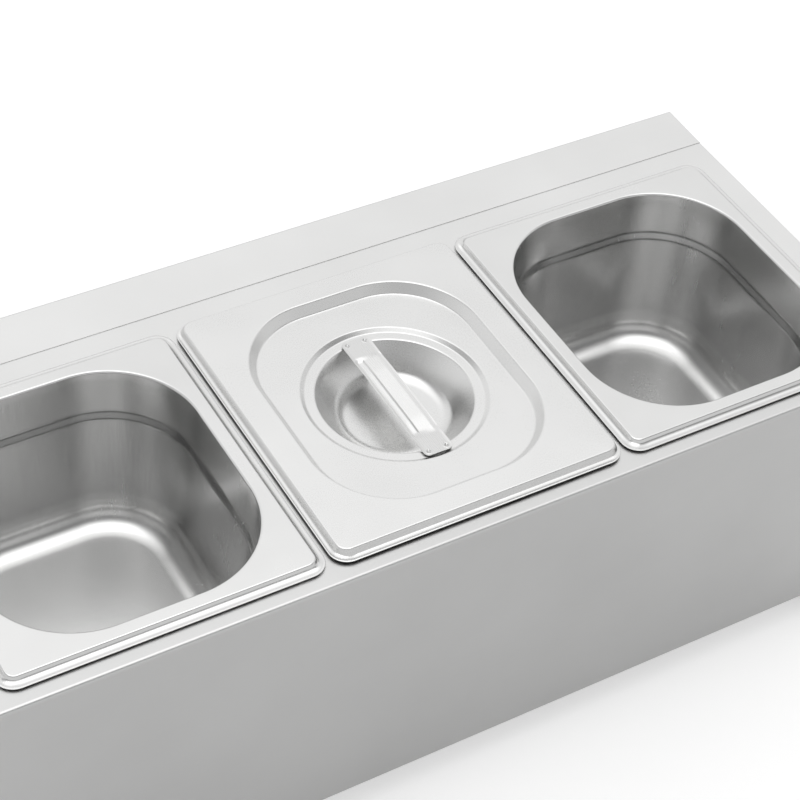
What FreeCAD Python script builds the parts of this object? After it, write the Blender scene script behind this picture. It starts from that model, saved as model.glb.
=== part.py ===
"""Counter-top holder for three sixth-size gastronorm pans, one of them with a lift-off lid.

Millimetres. +X runs along the row of pans, +Y to the back, +Z up.
The origin is on the counter, under the centre of the whole holder.
"""
import FreeCAD, Part
import math
import os
import Sketcher

Vector = FreeCAD.Vector

# Driving dimensions, one sheet cell each
DIMENSIONS = {
    # Holder of bent sheet
    "deck_height": 190.0,
    "panel_sheet": 1.0,
    "bend_radius": 2.0,
    "flange_width": 20.0,
    "front_ledge": 8.3,
    "rear_ledge": 45.3,
    "end_ledge": 14.0,
    "lap_width": 31.3,
    "lap_gap": 1.5,
    "lap_edge_height": 0.3,
    "collar_gap": 2.05,
    "collar_corner": 30.0,
    "end_corner": 3.0,
    # Cross rails under the deck
    "rail_width": 14.0,
    "rail_depth": 12.0,
    "rail_gap": 0.5,
    # Feet and their fasteners
    "foot_height": 20.0,
    "foot_top_radius": 11.0,
    "foot_base_radius": 9.0,
    "foot_edge_gap": 1.0,
    "foot_recess_radius": 5.5,
    "foot_recess_depth": 9.0,
    "foot_round": 1.5,
    "screw_radius": 2.0,
    "screw_hole_gap": 0.25,
    "screw_head_radius": 4.0,
    "screw_head_height": 2.4,
    "screw_spare": 2.0,
    "washer_radius": 4.5,
    "washer_sheet": 0.8,
    "nut_flats": 7.0,
    "nut_height": 3.2,
    "thread_gap": 0.05,
    # Rivets through the rear panel
    "rivet_radius": 2.0,
    "rivet_head_radius": 4.0,
    "rivet_head_height": 1.2,
    "rivet_crown_radius": 2.4,
    "rivet_tail_radius": 3.0,
    "rivet_tail_height": 2.0,
    "rivet_hole_gap": 0.05,
    "rivet_spacing": 55.0,
    # Pans
    "pan_width": 162.0,
    "pan_length": 176.0,
    "pan_corner": 10.0,
    "pan_gap": 1.5,
    "pan_sheet": 0.8,
    "pan_depth": 100.0,
    "brim_lift": 0.7,
    "band_height": 2.8,
    "band_run": 1.7,
    "band_round": 0.9,
    "opening_margin": 12.5,
    "opening_corner": 48.0,
    "opening_round": 2.0,
    "wall_draft": 5.0,
    "shoulder_depth": 26.0,
    "shoulder_drop": 4.2,
    "shoulder_step": 1.6,
    "floor_round": 15.0,
    # Lid
    "lid_sheet": 0.6,
    "lid_lip": 2.6,
    "lid_rise": 4.8,
    "lid_run": 0.9,
    "lid_round": 1.0,
    "lid_pan_gap": 0.3,
    "recess_side_margin": 18.5,
    "recess_end_margin": 17.0,
    "recess_corner": 45.0,
    "recess_depth": 5.4,
    "recess_run": 4.0,
    "recess_round": 1.5,
    "ring_margin": 11.2,
    "ring_drop": 1.8,
    "ring_run": 2.3,
    "ring_round": 0.6,
    "land_width": 5.0,
    "dish_depth": 15.0,
    "dish_run": 13.0,
    "dish_round": 1.5,
    "dish_floor_round": 9.0,
    # Strap handle of the lid
    "strap_width": 16.0,
    "strap_sheet": 1.0,
    "strap_corner": 3.0,
    "strap_end_gap": 1.6,
    "strap_off_front": 0.8,
    "bead_width": 9.0,
    "bead_end_margin": 13.5,
    "bead_height": 2.2,
    "bead_round": 1.8,
    "bead_end_flat": 0.2,
    "weld_inset": 2.6,
    "weld_spacing": 10.0,
    "weld_ball": 1.6,
    "weld_depth": 0.4,
}

# Sizes that follow from the driving ones
PITCH = "(dims.pan_width + dims.pan_gap)"
HALF_LENGTH = "(1.5 * dims.pan_width + dims.pan_gap + dims.end_ledge)"
DEPTH = "(dims.front_ledge + dims.pan_length + dims.rear_ledge)"
FRONT_Y = f"(-({DEPTH} + dims.rivet_head_height) / 2)"
REAR_Y = f"({FRONT_Y} + {DEPTH})"
ROW_Y = f"({FRONT_Y} + dims.front_ledge + dims.pan_length / 2)"
DECK_UNDERSIDE = "(dims.deck_height - dims.panel_sheet)"
INNER_BEND = "(dims.bend_radius - dims.panel_sheet)"
FLANGE_TOP = "(dims.foot_height + dims.panel_sheet)"
END_BASE = FLANGE_TOP
NUT_SEAT = f"({END_BASE} + dims.panel_sheet)"
NUT_REACH = "(dims.nut_flats / 2 / cos(30))"
BRIM_BOTTOM = "(dims.deck_height + dims.brim_lift)"
BRIM_TOP = f"({BRIM_BOTTOM} + dims.pan_sheet)"
COLLAR_HEIGHT = "(dims.brim_lift + dims.band_height)"
PAN_BRIM = "(dims.lid_lip + dims.lid_sheet + dims.lid_pan_gap)"
BAND_TOP = "(dims.pan_sheet + dims.band_height)"
BAND_INSET = f"({PAN_BRIM} + dims.band_run)"
OPENING_WIDTH = "(dims.pan_width - 2 * dims.opening_margin)"
OPENING_LENGTH = "(dims.pan_length - 2 * dims.opening_margin)"
LID_TOP = "(dims.lid_sheet + dims.lid_rise)"
RECESS_WIDTH = "(dims.pan_width - 2 * dims.recess_side_margin)"
RECESS_LENGTH = "(dims.pan_length - 2 * dims.recess_end_margin)"
RECESS_FLOOR = f"({LID_TOP} - dims.recess_depth)"
RING_RADIUS = f"({RECESS_WIDTH} / 2 - dims.recess_run - dims.ring_margin)"
LAND = f"({RECESS_FLOOR} - dims.ring_drop)"
LAND_RADIUS = f"({RING_RADIUS} - dims.ring_run)"
DISH_RADIUS = f"({LAND_RADIUS} - dims.land_width)"
STRAP_LENGTH = f"(2 * ({LAND_RADIUS} - dims.strap_end_gap))"
BEAD_LENGTH = f"({STRAP_LENGTH} - 2 * dims.bead_end_margin)"
FOOT_INSET = "(dims.foot_top_radius + dims.foot_edge_gap)"
FOOT_X = f"({HALF_LENGTH} - {FOOT_INSET})"
FOOT_FRONT_Y = f"({FRONT_Y} + {FOOT_INSET})"
FOOT_REAR_Y = f"({REAR_Y} - {FOOT_INSET})"
RIVET_X = f"({HALF_LENGTH} - dims.flange_width / 2)"
RIVET_MIDDLE_Z = f"(({END_BASE} + {DECK_UNDERSIDE}) / 2)"

doc = FreeCAD.newDocument("pan_holder")


def fill_sheet():
    """Put each driving dimension in a cell with its own alias."""
    sheet = doc.addObject("Spreadsheet::Sheet", "dims")
    for row, (alias, value) in enumerate(DIMENSIONS.items(), start=1):
        sheet.set(f"A{row}", alias)
        sheet.set(f"B{row}", str(value))
        sheet.setAlias(f"B{row}", alias)
    doc.recompute()
    return sheet


sheet = fill_sheet()


def size(expression):
    """Value of an expression over the sheet's cells."""
    return float(sheet.evalExpression(str(expression)))


def bend_shift(thickness, run, rise):
    """How far a sheet's inner face moves sideways at a bend, for one sheet thickness of drop."""
    return f"({thickness} * (sqrt({run} ^ 2 + {rise} ^ 2) - {run}) / {rise})"


# Where the pan's band is hollow underneath, and where the collar that carries it stands
HOLLOW_INSET = f"({BAND_INSET} + {bend_shift('dims.pan_sheet', 'dims.band_run', 'dims.band_height')})"
COLLAR_INSET = f"({HOLLOW_INSET} + dims.collar_gap)"
COLLAR_WIDTH = f"(dims.pan_width - 2 * {COLLAR_INSET})"
COLLAR_LENGTH = f"(dims.pan_length - 2 * {COLLAR_INSET})"


# Bodies and sketches
def new_body(name, x="0", y="0", z="0"):
    """A body placed in the holder's frame."""
    body = doc.addObject("PartDesign::Body", name)
    body.Label = name
    for axis, expression in zip("xyz", (x, y, z)):
        body.setExpression(f"Placement.Base.{axis}", expression)
    return body


def origin_plane(body, role):
    """One of the body's own origin planes or axes."""
    return next(item for item in body.Origin.OriginFeatures if item.Role == role)


def new_sketch(body, name, plane="XY_Plane", x="0", y="0", z="0"):
    """A sketch on an origin plane, moved by x and y in the plane and by z along its normal."""
    sketch = body.newObject("Sketcher::SketchObject", name)
    sketch.AttachmentSupport = [(origin_plane(body, plane), "")]
    sketch.MapMode = "FlatFace"
    for axis, expression in zip("xyz", (x, y, z)):
        sketch.setExpression(f"AttachmentOffset.Base.{axis}", expression)
    return sketch


def bind(sketch, constraint, expression):
    """Add a dimension and tie it to the sheet."""
    index = sketch.addConstraint(constraint)
    sketch.setExpression(f"Constraints[{index}]", expression)


def pin_point(sketch, shape, end, x, y):
    """Fix a line's end or a circle's centre at x and y, measured from the sketch's origin."""
    for kind, axis, expression in (("DistanceX", -2, x), ("DistanceY", -1, y)):
        value = size(expression)
        if abs(value) < 1e-9:
            sketch.addConstraint(Sketcher.Constraint("PointOnObject", shape, end, axis))
        elif value > 0:
            bind(sketch, Sketcher.Constraint(kind, -1, 1, shape, end, value), expression)
        else:
            bind(sketch, Sketcher.Constraint(kind, shape, end, -1, 1, -value), f"-({expression})")


def add_polygon(sketch, corners):
    """Closed outline of straight lines through corners given as pairs of expressions."""
    points = [Vector(size(x), size(y), 0) for x, y in corners]
    first = sketch.GeometryCount
    count = len(points)
    for index in range(count):
        sketch.addGeometry(Part.LineSegment(points[index], points[(index + 1) % count]))
    for index in range(count):
        following = first + (index + 1) % count
        sketch.addConstraint(Sketcher.Constraint("Coincident", first + index, 2, following, 1))
    for index, (x, y) in enumerate(corners):
        pin_point(sketch, first + index, 1, x, y)


def add_rounded_rectangle(sketch, width, length, corner):
    """Rectangle about the sketch's origin, with its four corners rounded alike."""
    half_x, half_y, radius = size(width) / 2, size(length) / 2, size(corner)
    centre_x, centre_y = half_x - radius, half_y - radius
    first = sketch.GeometryCount
    quarter = math.pi / 2
    sides = [
        (Vector(-centre_x, -half_y, 0), Vector(centre_x, -half_y, 0)),
        (Vector(half_x, -centre_y, 0), Vector(half_x, centre_y, 0)),
        (Vector(centre_x, half_y, 0), Vector(-centre_x, half_y, 0)),
        (Vector(-half_x, centre_y, 0), Vector(-half_x, -centre_y, 0)),
    ]
    centres = [(1, -1), (1, 1), (-1, 1), (-1, -1)]
    for turn, ((start, end), (side_x, side_y)) in enumerate(zip(sides, centres)):
        sketch.addGeometry(Part.LineSegment(start, end))
        circle = Part.Circle(Vector(side_x * centre_x, side_y * centre_y, 0), Vector(0, 0, 1), radius)
        sketch.addGeometry(Part.ArcOfCircle(circle, (turn - 1) * quarter, turn * quarter))
    for turn in range(4):
        line, arc = first + 2 * turn, first + 2 * turn + 1
        following = first + (2 * turn + 2) % 8
        sketch.addConstraint(Sketcher.Constraint("Tangent", line, 2, arc, 1))
        sketch.addConstraint(Sketcher.Constraint("Tangent", arc, 2, following, 1))
        sketch.addConstraint(Sketcher.Constraint("Horizontal" if turn % 2 == 0 else "Vertical", line))
        if turn:
            sketch.addConstraint(Sketcher.Constraint("Equal", first + 1, arc))
    bind(sketch, Sketcher.Constraint("Radius", first + 1, radius), corner)
    bind(sketch, Sketcher.Constraint("DistanceY", first, 1, -1, 1, half_y), f"{length} / 2")
    bind(sketch, Sketcher.Constraint("DistanceX", -1, 1, first + 2, 1, half_x), f"{width} / 2")
    bind(sketch, Sketcher.Constraint("DistanceY", -1, 1, first + 4, 1, half_y), f"{length} / 2")
    bind(sketch, Sketcher.Constraint("DistanceX", first + 6, 1, -1, 1, half_x), f"{width} / 2")


def add_circle(sketch, radius, x="0", y="0"):
    """Circle with its centre at x and y."""
    centre = Vector(size(x), size(y), 0)
    index = sketch.addGeometry(Part.Circle(centre, Vector(0, 0, 1), size(radius)))
    bind(sketch, Sketcher.Constraint("Radius", index, size(radius)), radius)
    pin_point(sketch, index, 3, x, y)


def rounded_sketch(body, name, width, length, corner, z):
    """Sketch of one rounded rectangle at a height."""
    sketch = new_sketch(body, name, z=z)
    add_rounded_rectangle(sketch, width, length, corner)
    return sketch


def rim_sketch(body, name, inset, z):
    """Outline of the pan's and lid's outer edge, moved inwards."""
    width = f"(dims.pan_width - 2 * {inset})"
    length = f"(dims.pan_length - 2 * {inset})"
    return rounded_sketch(body, name, width, length, f"(dims.pan_corner - {inset})", z)


# Features
def extrude(body, kind, name, sketch, length, reverse=False, both_ways=False):
    """Pad or pocket of a sketch; a pocket cuts against the sketch's normal."""
    feature = body.newObject(f"PartDesign::{kind}", name)
    feature.Profile = sketch
    feature.setExpression("Length", length)
    feature.Reversed = reverse
    if both_ways:
        feature.SideType = "Symmetric"
    return finish_feature(body, feature)


def loft(body, kind, name, sketches):
    """Straight-sided loft through sketches of the same make."""
    feature = body.newObject(f"PartDesign::{kind}Loft", name)
    feature.Profile = sketches[0]
    feature.Sections = sketches[1:]
    feature.Ruled = True
    return finish_feature(body, feature)


def revolve(body, kind, name, corners, plane="XZ_Plane", x="0", y="0", z="0", axis="V_Axis"):
    """Full turn of a polygon about an axis of its sketch."""
    sketch = new_sketch(body, f"{name}_profile", plane, x, y, z)
    add_polygon(sketch, corners)
    feature = body.newObject(f"PartDesign::{kind}", name)
    feature.Profile = sketch
    feature.ReferenceAxis = (sketch, [axis])
    feature.Angle = 360
    return finish_feature(body, feature)


def finish_feature(body, feature):
    """Bring the feature up to date and make it the body's latest state."""
    body.Tip = feature
    doc.recompute()
    return feature


def edges_where(feature, test):
    """Names of the feature's edges whose middle point and bounding box pass a test."""
    names = []
    for number, edge in enumerate(feature.Shape.Edges, start=1):
        middle = edge.valueAt((edge.FirstParameter + edge.LastParameter) / 2)
        if test(middle, edge.BoundBox):
            names.append(f"Edge{number}")
    return names


def level_edges(feature, z, low_x, high_x):
    """Edges at one height that cross the line y = 0 between two distances from the middle."""
    height = size(z)
    low, high = size(low_x), size(high_x)

    def test(middle, box):
        at_height = abs(box.ZMin - height) < 1e-3 and abs(box.ZMax - height) < 1e-3
        crosses = box.YMin < 1e-3 and box.YMax > -1e-3
        return at_height and crosses and low < abs(middle.x) < high

    return edges_where(feature, test)


def fillet(body, name, edges, radius):
    """Round the edges of the body's latest state."""
    if not edges:
        raise RuntimeError(f"{name}: no edge to round")
    base = body.Tip
    feature = body.newObject("PartDesign::Fillet", name)
    feature.Base = (base, edges)
    feature.setExpression("Radius", radius)
    return finish_feature(body, feature)


def row_edges(feature, y, z):
    """Edges along X at a given place in the cross section."""
    depth, height = size(y), size(z)

    def test(middle, box):
        along = box.XLength > 1 and box.YLength < 1e-3 and box.ZLength < 1e-3
        return along and abs(middle.y - depth) < 1e-3 and abs(middle.z - height) < 1e-3

    return edges_where(feature, test)


def drill(body, name, plane, places, radius, length, z, reverse=False):
    """Round holes at places given as pairs of expressions."""
    sketch = new_sketch(body, f"{name}_sketch", plane, z=z)
    for x, y in places:
        add_circle(sketch, radius, x, y)
    return extrude(body, "Pocket", name, sketch, length, reverse)


# Holder of bent sheet
def bent_sheet(name, corners, bends):
    """Sheet profile in the YZ plane, run along the whole holder, with its bends rounded."""
    body = new_body(name)
    profile = new_sketch(body, f"{name}_profile", "YZ_Plane")
    add_polygon(profile, corners)
    extrude(body, "Pad", f"{name}_sheet", profile, f"2 * {HALF_LENGTH}", both_ways=True)
    for index, (outer, inner) in enumerate(bends):
        fillet(body, f"{name}_bend_{index}", row_edges(body.Tip, *outer), "dims.bend_radius")
        fillet(body, f"{name}_inside_{index}", row_edges(body.Tip, *inner), INNER_BEND)
    return body


def foot_holes(body, y):
    """Two screw holes through a bottom flange."""
    places = [(f"(-{FOOT_X})", y), (FOOT_X, y)]
    radius = "(dims.screw_radius + dims.screw_hole_gap)"
    name = f"{body.Name}_foot_holes"
    drill(body, name, "XY_Plane", places, radius, "2 * dims.panel_sheet", "dims.foot_height", reverse=True)


def build_deck_shell():
    """Deck with three collared cut-outs, bent down into the front panel and its bottom flange."""
    front_inner = f"({FRONT_Y} + dims.panel_sheet)"
    flange_edge = f"({FRONT_Y} + dims.flange_width)"
    deck_end = f"({REAR_Y} - dims.panel_sheet - dims.lap_gap)"
    corners = [
        (deck_end, "dims.deck_height"),
        (FRONT_Y, "dims.deck_height"),
        (FRONT_Y, "dims.foot_height"),
        (flange_edge, "dims.foot_height"),
        (flange_edge, FLANGE_TOP),
        (front_inner, FLANGE_TOP),
        (front_inner, DECK_UNDERSIDE),
        (deck_end, DECK_UNDERSIDE),
    ]
    bends = [
        ((FRONT_Y, "dims.deck_height"), (front_inner, DECK_UNDERSIDE)),
        ((FRONT_Y, "dims.foot_height"), (front_inner, FLANGE_TOP)),
    ]
    body = bent_sheet("deck_shell", corners, bends)
    cutout_width = f"({COLLAR_WIDTH} - 2 * dims.panel_sheet)"
    cutout_length = f"({COLLAR_LENGTH} - 2 * dims.panel_sheet)"
    collar_outside = "(dims.collar_corner + dims.panel_sheet)"
    for name, x in (("left", f"-{PITCH}"), ("middle", "0"), ("right", PITCH)):
        ring = new_sketch(body, f"{name}_collar_sketch", "XY_Plane", x, ROW_Y, DECK_UNDERSIDE)
        add_rounded_rectangle(ring, COLLAR_WIDTH, COLLAR_LENGTH, collar_outside)
        extrude(body, "Pad", f"{name}_collar", ring, f"dims.panel_sheet + {COLLAR_HEIGHT}")
        well = new_sketch(body, f"{name}_cutout_sketch", "XY_Plane", x, ROW_Y, DECK_UNDERSIDE)
        add_rounded_rectangle(well, cutout_width, cutout_length, "dims.collar_corner")
        cut = f"2 * dims.panel_sheet + {COLLAR_HEIGHT}"
        extrude(body, "Pocket", f"{name}_cutout", well, cut, reverse=True)
    foot_holes(body, FOOT_FRONT_Y)
    return body


def rivet_heights():
    """Heights of the three rivets at each end of the rear panel."""
    return [f"({RIVET_MIDDLE_Z} + {step} * dims.rivet_spacing)" for step in (-1, 0, 1)]


def build_rear_panel():
    """Rear wall with a bottom flange and a top flange that laps over the deck, dressed thin at its edge."""
    rear_inner = f"({REAR_Y} - dims.panel_sheet)"
    lap_edge = f"({REAR_Y} - dims.lap_width)"
    lap_top = "(dims.deck_height + dims.panel_sheet)"
    flange_edge = f"({REAR_Y} - dims.flange_width)"
    corners = [
        (lap_edge, "(dims.deck_height + dims.lap_edge_height)"),
        (lap_edge, "dims.deck_height"),
        (rear_inner, "dims.deck_height"),
        (rear_inner, FLANGE_TOP),
        (flange_edge, FLANGE_TOP),
        (flange_edge, "dims.foot_height"),
        (REAR_Y, "dims.foot_height"),
        (REAR_Y, lap_top),
    ]
    bends = [
        ((REAR_Y, lap_top), (rear_inner, "dims.deck_height")),
        ((REAR_Y, "dims.foot_height"), (rear_inner, FLANGE_TOP)),
    ]
    body = bent_sheet("rear_panel", corners, bends)
    foot_holes(body, FOOT_REAR_Y)
    places = [(x, z) for x in (f"(-{RIVET_X})", RIVET_X) for z in rivet_heights()]
    radius = "(dims.rivet_radius + dims.rivet_hole_gap)"
    drill(body, "rivet_holes", "XZ_Plane", places, radius, "2 * dims.panel_sheet", f"(-{REAR_Y})", reverse=True)
    return body


def build_end_panel(name, side):
    """Flat end with flanges turned in along all four edges, made as a shallow tray."""
    face_x = f"({side} * {HALF_LENGTH})"
    middle_y = f"(({FRONT_Y} + {REAR_Y}) / 2)"
    middle_z = f"(({END_BASE} + {DECK_UNDERSIDE}) / 2)"
    width = f"({DEPTH} - 2 * dims.panel_sheet)"
    height = f"({DECK_UNDERSIDE} - {END_BASE})"
    body = new_body(name)
    outline = new_sketch(body, f"{name}_outline", "YZ_Plane", middle_y, middle_z, face_x)
    add_rounded_rectangle(outline, width, height, "dims.end_corner")
    extrude(body, "Pad", f"{name}_block", outline, "dims.flange_width", reverse=side > 0)
    inside_x = f"({face_x} - {side} * dims.panel_sheet)"
    inside = new_sketch(body, f"{name}_inside", "YZ_Plane", middle_y, middle_z, inside_x)
    inner_width = f"({width} - 2 * dims.panel_sheet)"
    inner_height = f"({height} - 2 * dims.panel_sheet)"
    add_rounded_rectangle(inside, inner_width, inner_height, "(dims.end_corner - dims.panel_sheet)")
    extrude(body, "Pocket", f"{name}_hollow", inside, "dims.flange_width", reverse=side < 0)
    hole_x = f"({side} * {FOOT_X})"
    hole = "(dims.screw_radius + dims.screw_hole_gap)"
    feet = [(hole_x, FOOT_FRONT_Y), (hole_x, FOOT_REAR_Y)]
    drill(body, f"{name}_foot_holes", "XY_Plane", feet, hole, "2 * dims.panel_sheet", END_BASE, reverse=True)
    rivets = [(f"({side} * {RIVET_X})", z) for z in rivet_heights()]
    rivet_hole = "(dims.rivet_radius + dims.rivet_hole_gap)"
    depth = f"(-{REAR_Y})"
    length = "3 * dims.panel_sheet"
    drill(body, f"{name}_rivet_holes", "XZ_Plane", rivets, rivet_hole, length, depth, reverse=True)
    return body


def build_cross_rail(name, side):
    """Channel under the bar between two cut-outs, open downwards."""
    half = "dims.rail_width / 2"
    low = f"({DECK_UNDERSIDE} - dims.rail_depth)"
    web = f"({DECK_UNDERSIDE} - dims.panel_sheet)"
    start = f"({FRONT_Y} + dims.panel_sheet + dims.rail_gap)"
    length = f"({DEPTH} - 2 * dims.panel_sheet - 2 * dims.rail_gap)"
    inner = f"({half} - dims.panel_sheet)"
    corners = [
        (f"(-{half})", low),
        (f"(-{inner})", low),
        (f"(-{inner})", web),
        (inner, web),
        (inner, low),
        (half, low),
        (half, DECK_UNDERSIDE),
        (f"(-{half})", DECK_UNDERSIDE),
    ]
    body = new_body(name, x=f"{side} * {PITCH} / 2")
    profile = new_sketch(body, f"{name}_profile", "XZ_Plane", z=f"(-{start})")
    add_polygon(profile, corners)
    extrude(body, "Pad", f"{name}_channel", profile, length, reverse=True)
    return body


# Feet and fasteners
def build_foot(name, x, y):
    """Tapered rubber foot with a recess for the screw head in its underside."""
    hole = "(dims.screw_radius + dims.screw_hole_gap)"
    corners = [
        (hole, "dims.foot_recess_depth"),
        ("dims.foot_recess_radius", "dims.foot_recess_depth"),
        ("dims.foot_recess_radius", "0"),
        ("dims.foot_base_radius", "0"),
        ("dims.foot_top_radius", "dims.foot_height"),
        (hole, "dims.foot_height"),
    ]
    body = new_body(name, x=x, y=y)
    revolve(body, "Revolution", f"{name}_turned", corners)
    base = size("dims.foot_base_radius")
    rim = edges_where(body.Tip, lambda middle, box: box.ZMax < 1e-3 and box.XMax > base - 1e-3)
    fillet(body, f"{name}_rounded", rim, "dims.foot_round")
    return body


def pattern(body, feature, name, axis, length, count, axis_2=None, length_2=None):
    """Copies of a feature along one origin axis, or over a grid of two by two."""
    copies = body.newObject("PartDesign::LinearPattern", name)
    copies.Originals = [feature]
    copies.Direction = (origin_plane(body, axis), [""])
    copies.setExpression("Length", length)
    copies.Occurrences = count
    if axis_2:
        copies.Direction2 = (origin_plane(body, axis_2), [""])
        copies.setExpression("Length2", length_2)
        copies.Occurrences2 = 2
    return finish_feature(body, copies)


def at_every_foot(body, feature):
    """Repeat a fastener, made at the front left foot, at all four feet."""
    across = f"2 * {FOOT_X}"
    along = f"({FOOT_REAR_Y} - {FOOT_FRONT_Y})"
    pattern(body, feature, f"{body.Name}_copies", "X_Axis", across, 2, "Y_Axis", along)


def build_foot_washers():
    """Flat washers above the screw heads, in the feet."""
    bore = "(dims.screw_radius + dims.screw_hole_gap)"
    low = "(dims.foot_recess_depth - dims.washer_sheet)"
    corners = [
        (bore, low),
        ("dims.washer_radius", low),
        ("dims.washer_radius", "dims.foot_recess_depth"),
        (bore, "dims.foot_recess_depth"),
    ]
    body = new_body("foot_washers", x=f"-{FOOT_X}", y=FOOT_FRONT_Y)
    at_every_foot(body, revolve(body, "Revolution", "washer", corners))
    return body


def build_foot_screws():
    """Screws with flat round heads, up through the feet and both flanges."""
    head_top = "(dims.foot_recess_depth - dims.washer_sheet)"
    head_base = f"({head_top} - dims.screw_head_height)"
    tip = f"({NUT_SEAT} + dims.nut_height + dims.screw_spare)"
    corners = [
        ("0", head_base),
        ("dims.screw_head_radius", head_base),
        ("dims.screw_head_radius", head_top),
        ("dims.screw_radius", head_top),
        ("dims.screw_radius", tip),
        ("0", tip),
    ]
    body = new_body("foot_screws", x=f"-{FOOT_X}", y=FOOT_FRONT_Y)
    at_every_foot(body, revolve(body, "Revolution", "screw", corners))
    return body


def build_foot_nuts():
    """Hexagon nuts on the upper flange."""
    body = new_body("foot_nuts", x=f"-{FOOT_X}", y=FOOT_FRONT_Y)
    sketch = new_sketch(body, "nut_outline", z=NUT_SEAT)
    angles = [60 * turn + 30 for turn in range(6)]
    add_polygon(sketch, [(f"({NUT_REACH} * cos({angle}))", f"({NUT_REACH} * sin({angle}))") for angle in angles])
    add_circle(sketch, "(dims.screw_radius + dims.thread_gap)")
    at_every_foot(body, extrude(body, "Pad", "nut", sketch, "dims.nut_height"))
    return body


def build_rear_rivets(name, side):
    """Blind rivets that join the rear panel to an end panel's rear flange."""
    head = "dims.rivet_head_height"
    grip = "(-2 * dims.panel_sheet)"
    tail = f"({grip} - dims.rivet_tail_height)"
    corners = [
        ("0", head),
        ("dims.rivet_crown_radius", head),
        ("dims.rivet_head_radius", "0"),
        ("dims.rivet_radius", "0"),
        ("dims.rivet_radius", grip),
        ("dims.rivet_tail_radius", grip),
        ("dims.rivet_tail_radius", tail),
        ("0", tail),
    ]
    low = f"({RIVET_MIDDLE_Z} - dims.rivet_spacing)"
    body = new_body(name, x=f"({side} * {RIVET_X})", y=REAR_Y, z=low)
    rivet = revolve(body, "Revolution", f"{name}_rivet", corners, plane="XY_Plane")
    pattern(body, rivet, f"{name}_copies", "Z_Axis", "2 * dims.rivet_spacing", 3)
    return body


# Pans
def well_sections(body, name, offset, top, floor, shoulder):
    """Outlines of the pan's well from its mouth to its floor, moved outwards by an offset."""
    share = "(dims.wall_draft / dims.pan_depth)"
    step_end = f"({shoulder} - dims.shoulder_drop)"
    levels = [
        (top, "0"),
        (shoulder, f"({share} * dims.shoulder_depth)"),
        (step_end, f"({share} * (dims.shoulder_depth + dims.shoulder_drop) + dims.shoulder_step)"),
        (floor, "(dims.wall_draft + dims.shoulder_step)"),
    ]
    sections = []
    for index, (height, inset) in enumerate(levels):
        width = f"({OPENING_WIDTH} + 2 * {offset} - 2 * {inset})"
        length = f"({OPENING_LENGTH} + 2 * {offset} - 2 * {inset})"
        corner = f"(dims.opening_corner + {offset} - {inset})"
        sections.append(rounded_sketch(body, f"{name}_{index}", width, length, corner, height))
    return sections


def build_pan(name, x):
    """Drawn pan: brim, raised band, rounded mouth, stacking shoulder and rounded floor."""
    body = new_body(name, x=x, y=ROW_Y, z=BRIM_BOTTOM)
    thick = "dims.pan_sheet"
    brim = rim_sketch(body, f"{name}_brim_outline", "0", "0")
    extrude(body, "Pad", f"{name}_brim", brim, thick)
    slope = [
        rim_sketch(body, f"{name}_band_foot", PAN_BRIM, thick),
        rim_sketch(body, f"{name}_band_top", BAND_INSET, BAND_TOP),
    ]
    loft(body, "Additive", f"{name}_band", slope)
    hollow = [
        rim_sketch(body, f"{name}_hollow_foot", f"({HOLLOW_INSET} - dims.band_run)", "0"),
        rim_sketch(body, f"{name}_hollow_top", HOLLOW_INSET, "dims.band_height"),
    ]
    loft(body, "Subtractive", f"{name}_hollow", hollow)
    floor = f"({BAND_TOP} - dims.pan_depth)"
    shoulder = f"({BAND_TOP} - dims.shoulder_depth)"
    outside = well_sections(body, f"{name}_outside", thick, "dims.band_height", floor, shoulder)
    loft(body, "Additive", f"{name}_well", outside)
    inner_floor = f"({floor} + {thick})"
    inside = well_sections(body, f"{name}_inside", "0", BAND_TOP, inner_floor, shoulder)
    loft(body, "Subtractive", f"{name}_space", inside)
    round_pan(body, name, floor, inner_floor)
    return body


def round_pan(body, name, floor, inner_floor):
    """Round the pan's mouth, the band's edge and the floor, inside and out."""
    mouth = f"({OPENING_WIDTH} / 2)"
    wall = f"({mouth} + dims.pan_sheet)"
    foot = f"({mouth} - dims.wall_draft - dims.shoulder_step)"
    near = "dims.pan_sheet / 4"
    rounds = [
        ("mouth", BAND_TOP, mouth, "dims.opening_round"),
        ("neck", "dims.band_height", wall, "(dims.opening_round - dims.pan_sheet)"),
        ("edge", BAND_TOP, f"(dims.pan_width / 2 - {BAND_INSET})", "dims.band_round"),
        ("floor_outside", floor, f"({foot} + dims.pan_sheet)", "(dims.floor_round + dims.pan_sheet)"),
        ("floor_inside", inner_floor, foot, "dims.floor_round"),
    ]
    for label, height, reach, radius in rounds:
        edges = level_edges(body.Tip, height, f"({reach} - {near})", f"({reach} + {near})")
        fillet(body, f"{name}_{label}", edges, radius)


# Lid and its handle
def recess_sections(body, name, offset, top, floor):
    """Outlines of the lid's recess at its mouth and floor, moved outwards by an offset."""
    sections = []
    for label, height, inset in (("mouth", top, "0"), ("floor", floor, "dims.recess_run")):
        width = f"({RECESS_WIDTH} + 2 * {offset} - 2 * {inset})"
        length = f"({RECESS_LENGTH} + 2 * {offset} - 2 * {inset})"
        corner = f"(dims.recess_corner + {offset} - {inset})"
        sections.append(rounded_sketch(body, f"{name}_{label}", width, length, corner, height))
    return sections


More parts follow.
